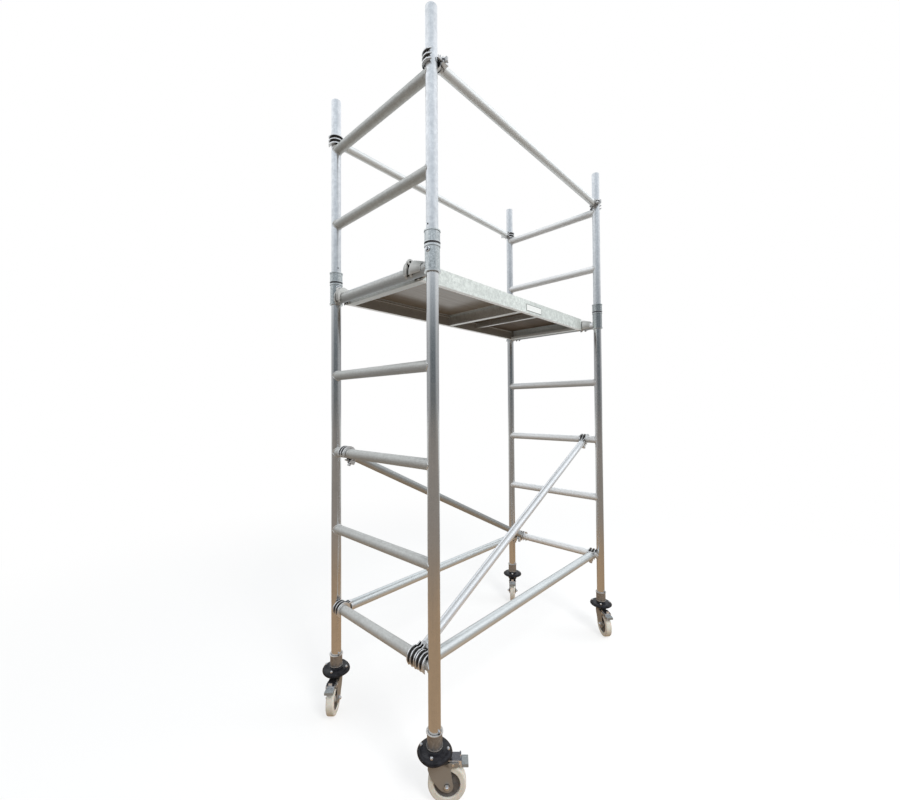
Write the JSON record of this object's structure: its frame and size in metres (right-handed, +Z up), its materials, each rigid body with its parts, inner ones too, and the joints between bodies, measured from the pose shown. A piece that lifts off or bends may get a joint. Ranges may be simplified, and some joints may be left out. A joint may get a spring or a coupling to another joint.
{
  "type": "mobile tower scaffold",
  "caption": "Narrow aluminium access tower on lockable swivel castors, with ladder end frames, clip-on braces, a hatch platform and guard rails.",
  "frame": {"origin": "on the floor, under the middle of the four legs", "axes": "+Z up; +X along the bay from the near end frame to the far one; +Y from the front to the back of the tower, so the front braces and the front guard rail are at -Y"},
  "size_m": [1.7928, 0.9128, 3.184],
  "materials": {
    "tube": "drawn tube with a soft satin surface",
    "rung": "matt drawn tube, slightly duller than the uprights",
    "sleeve": "zinc coated, mottled",
    "brace": "bright drawn tube",
    "cast": "sand cast, worn bright on the ribs",
    "beam": "extruded, dull and weathered",
    "zinc": "bright zinc plate",
    "fork": "pressed steel with a dull passivated coat",
    "handwheel": "glossy black",
    "nylon": "off-white cast nylon, lightly scuffed",
    "ply": "film-faced plywood, brown",
    "label": "blank plate, matt"
  },
  "bodies": {
    "tower": {"base_legs": "tube", "base_rungs": "rung", "joint_sleeves": "sleeve", "upper_legs": "tube", "upper_rungs": "rung", "spigots": "sleeve", "lock_buttons": "zinc", "foot_cups": "sleeve", "guard_rails": "brace", "horizontal_braces": "brace", "diagonal_braces": "brace", "brace_claws": "cast", "guard_claws": "cast", "platform_beams": "beam", "platform_ends": "beam", "platform_cross_members": "beam", "deck_panel": "ply", "platform_hooks": "cast", "hatch_hinge": "zinc", "label_plate": "label"},
    "hatch": {"hatch_frame": "beam", "hatch_panel": "ply"},
    "hatch_latch": {"hatch_latch": "zinc"},
    "trigger_1l": {"trigger_1l": "zinc"},
    "trigger_1r": {"trigger_1r": "zinc"},
    "trigger_2l": {"trigger_2l": "zinc"},
    "trigger_2r": {"trigger_2r": "zinc"},
    "trigger_3l": {"trigger_3l": "zinc"},
    "trigger_3r": {"trigger_3r": "zinc"},
    "trigger_4l": {"trigger_4l": "zinc"},
    "trigger_4r": {"trigger_4r": "zinc"},
    "trigger_5l": {"trigger_5l": "zinc"},
    "trigger_5r": {"trigger_5r": "zinc"},
    "trigger_6l": {"trigger_6l": "zinc"},
    "trigger_6r": {"trigger_6r": "zinc"},
    "handwheel_a": {"handwheel_a": "handwheel"},
    "stem_a": {"stem_a": "zinc"},
    "fork_a": {"fork_a": "fork", "axle_a": "zinc"},
    "wheel_a": {"wheel_a": "nylon"},
    "pedal_a": {"pedal_a": "zinc"},
    "handwheel_b": {"handwheel_b": "handwheel"},
    "stem_b": {"stem_b": "zinc"},
    "fork_b": {"fork_b": "fork", "axle_b": "zinc"},
    "wheel_b": {"wheel_b": "nylon"},
    "pedal_b": {"pedal_b": "zinc"},
    "handwheel_c": {"handwheel_c": "handwheel"},
    "stem_c": {"stem_c": "zinc"},
    "fork_c": {"fork_c": "fork", "axle_c": "zinc"},
    "wheel_c": {"wheel_c": "nylon"},
    "pedal_c": {"pedal_c": "zinc"},
    "handwheel_d": {"handwheel_d": "handwheel"},
    "stem_d": {"stem_d": "zinc"},
    "fork_d": {"fork_d": "fork", "axle_d": "zinc"},
    "wheel_d": {"wheel_d": "nylon"},
    "pedal_d": {"pedal_d": "zinc"}
  },
  "joints": [
    {"name": "hatch_open", "type": "hinge", "parent": "tower", "child": "hatch", "pos_m": [-0.362, 0.305, 2.172], "axis": [-1, 0, 0], "range_deg": [0, 100]},
    {"name": "hatch_latch_turn", "type": "hinge", "parent": "hatch", "child": "hatch_latch", "pos_m": [-0.362, -0.215, 2.165], "axis": [0, 0, -1], "range_deg": [0, 90]},
    {"name": "trigger_1l_pull", "type": "slide", "parent": "tower", "child": "trigger_1l", "axis": [1, 0, 0], "range_m": [0, 0.022], "stiffness_N_per_m": 200, "springref_m": -0.01},
    {"name": "trigger_1r_pull", "type": "slide", "parent": "tower", "child": "trigger_1r", "axis": [-1, 0, 0], "range_m": [0, 0.022], "stiffness_N_per_m": 200, "springref_m": -0.01},
    {"name": "trigger_2l_pull", "type": "slide", "parent": "tower", "child": "trigger_2l", "axis": [1, 0, 0], "range_m": [0, 0.022], "stiffness_N_per_m": 200, "springref_m": -0.01},
    {"name": "trigger_2r_pull", "type": "slide", "parent": "tower", "child": "trigger_2r", "axis": [-1, 0, 0], "range_m": [0, 0.022], "stiffness_N_per_m": 200, "springref_m": -0.01},
    {"name": "trigger_3l_pull", "type": "slide", "parent": "tower", "child": "trigger_3l", "axis": [0.8955, 0, 0.445], "range_m": [0, 0.022], "stiffness_N_per_m": 200, "springref_m": -0.01},
    {"name": "trigger_3r_pull", "type": "slide", "parent": "tower", "child": "trigger_3r", "axis": [-0.8955, 0, -0.445], "range_m": [0, 0.022], "stiffness_N_per_m": 200, "springref_m": -0.01},
    {"name": "trigger_4l_pull", "type": "slide", "parent": "tower", "child": "trigger_4l", "axis": [0.8955, 0, -0.445], "range_m": [0, 0.022], "stiffness_N_per_m": 200, "springref_m": -0.01},
    {"name": "trigger_4r_pull", "type": "slide", "parent": "tower", "child": "trigger_4r", "axis": [-0.8955, 0, 0.445], "range_m": [0, 0.022], "stiffness_N_per_m": 200, "springref_m": -0.01},
    {"name": "trigger_5l_pull", "type": "slide", "parent": "tower", "child": "trigger_5l", "axis": [1, 0, 0], "range_m": [0, 0.022], "stiffness_N_per_m": 200, "springref_m": -0.01},
    {"name": "trigger_5r_pull", "type": "slide", "parent": "tower", "child": "trigger_5r", "axis": [-1, 0, 0], "range_m": [0, 0.022], "stiffness_N_per_m": 200, "springref_m": -0.01},
    {"name": "trigger_6l_pull", "type": "slide", "parent": "tower", "child": "trigger_6l", "axis": [1, 0, 0], "range_m": [0, 0.022], "stiffness_N_per_m": 200, "springref_m": -0.01},
    {"name": "trigger_6r_pull", "type": "slide", "parent": "tower", "child": "trigger_6r", "axis": [-1, 0, 0], "range_m": [0, 0.022], "stiffness_N_per_m": 200, "springref_m": -0.01},
    {"name": "handwheel_a_turn", "type": "hinge", "parent": "tower", "child": "handwheel_a", "pos_m": [-0.805, -0.365, 0.195], "axis": [0, 0, 1], "range_deg": [0, 9000]},
    {"name": "stem_a_extend", "type": "slide", "parent": "tower", "child": "stem_a", "axis": [0, 0, -1], "range_m": [0, 0.15]},
    {"name": "fork_a_swivel", "type": "hinge", "parent": "stem_a", "child": "fork_a", "pos_m": [-0.805, -0.365, 0.165], "axis": [0, 0, 1], "continuous": true},
    {"name": "wheel_a_spin", "type": "hinge", "parent": "fork_a", "child": "wheel_a", "pos_m": [-0.77226, -0.4001, 0.075], "axis": [0.7314, 0.682, 0], "continuous": true},
    {"name": "pedal_a_press", "type": "hinge", "parent": "fork_a", "child": "pedal_a", "pos_m": [-0.7559, -0.41766, 0.158], "axis": [0.7314, 0.682, 0], "range_deg": [0, 20]},
    {"name": "handwheel_b_turn", "type": "hinge", "parent": "tower", "child": "handwheel_b", "pos_m": [-0.805, 0.365, 0.195], "axis": [0, 0, 1], "range_deg": [0, 9000]},
    {"name": "stem_b_extend", "type": "slide", "parent": "tower", "child": "stem_b", "axis": [0, 0, -1], "range_m": [0, 0.15]},
    {"name": "fork_b_swivel", "type": "hinge", "parent": "stem_b", "child": "fork_b", "pos_m": [-0.805, 0.365, 0.165], "axis": [0, 0, 1], "continuous": true},
    {"name": "wheel_b_spin", "type": "hinge", "parent": "fork_b", "child": "wheel_b", "pos_m": [-0.8401, 0.33226, 0.075], "axis": [0.682, -0.7314, 0], "continuous": true},
    {"name": "pedal_b_press", "type": "hinge", "parent": "fork_b", "child": "pedal_b", "pos_m": [-0.85766, 0.3159, 0.158], "axis": [0.682, -0.7314, 0], "range_deg": [0, 20]},
    {"name": "handwheel_c_turn", "type": "hinge", "parent": "tower", "child": "handwheel_c", "pos_m": [0.805, -0.365, 0.195], "axis": [0, 0, 1], "range_deg": [0, 9000]},
    {"name": "stem_c_extend", "type": "slide", "parent": "tower", "child": "stem_c", "axis": [0, 0, -1], "range_m": [0, 0.15]},
    {"name": "fork_c_swivel", "type": "hinge", "parent": "stem_c", "child": "fork_c", "pos_m": [0.805, -0.365, 0.165], "axis": [0, 0, 1], "continuous": true},
    {"name": "wheel_c_spin", "type": "hinge", "parent": "fork_c", "child": "wheel_c", "pos_m": [0.77226, -0.4001, 0.075], "axis": [0.7314, -0.682, 0], "continuous": true},
    {"name": "pedal_c_press", "type": "hinge", "parent": "fork_c", "child": "pedal_c", "pos_m": [0.7559, -0.41766, 0.158], "axis": [0.7314, -0.682, 0], "range_deg": [0, 20]},
    {"name": "handwheel_d_turn", "type": "hinge", "parent": "tower", "child": "handwheel_d", "pos_m": [0.805, 0.365, 0.195], "axis": [0, 0, 1], "range_deg": [0, 9000]},
    {"name": "stem_d_extend", "type": "slide", "parent": "tower", "child": "stem_d", "axis": [0, 0, -1], "range_m": [0, 0.15]},
    {"name": "fork_d_swivel", "type": "hinge", "parent": "stem_d", "child": "fork_d", "pos_m": [0.805, 0.365, 0.165], "axis": [0, 0, 1], "continuous": true},
    {"name": "wheel_d_spin", "type": "hinge", "parent": "fork_d", "child": "wheel_d", "pos_m": [0.76521, 0.33816, 0.075], "axis": [0.5592, -0.829, 0], "continuous": true},
    {"name": "pedal_d_press", "type": "hinge", "parent": "fork_d", "child": "pedal_d", "pos_m": [0.74531, 0.32474, 0.158], "axis": [0.5592, -0.829, 0], "range_deg": [0, 20]}
  ],
  "couplings": [
    {"joint": "stem_a_extend", "follows": "handwheel_a_turn", "m_per_rad": 0.000954},
    {"joint": "stem_b_extend", "follows": "handwheel_b_turn", "m_per_rad": 0.000954},
    {"joint": "stem_c_extend", "follows": "handwheel_c_turn", "m_per_rad": 0.000954},
    {"joint": "stem_d_extend", "follows": "handwheel_d_turn", "m_per_rad": 0.000954}
  ]
}
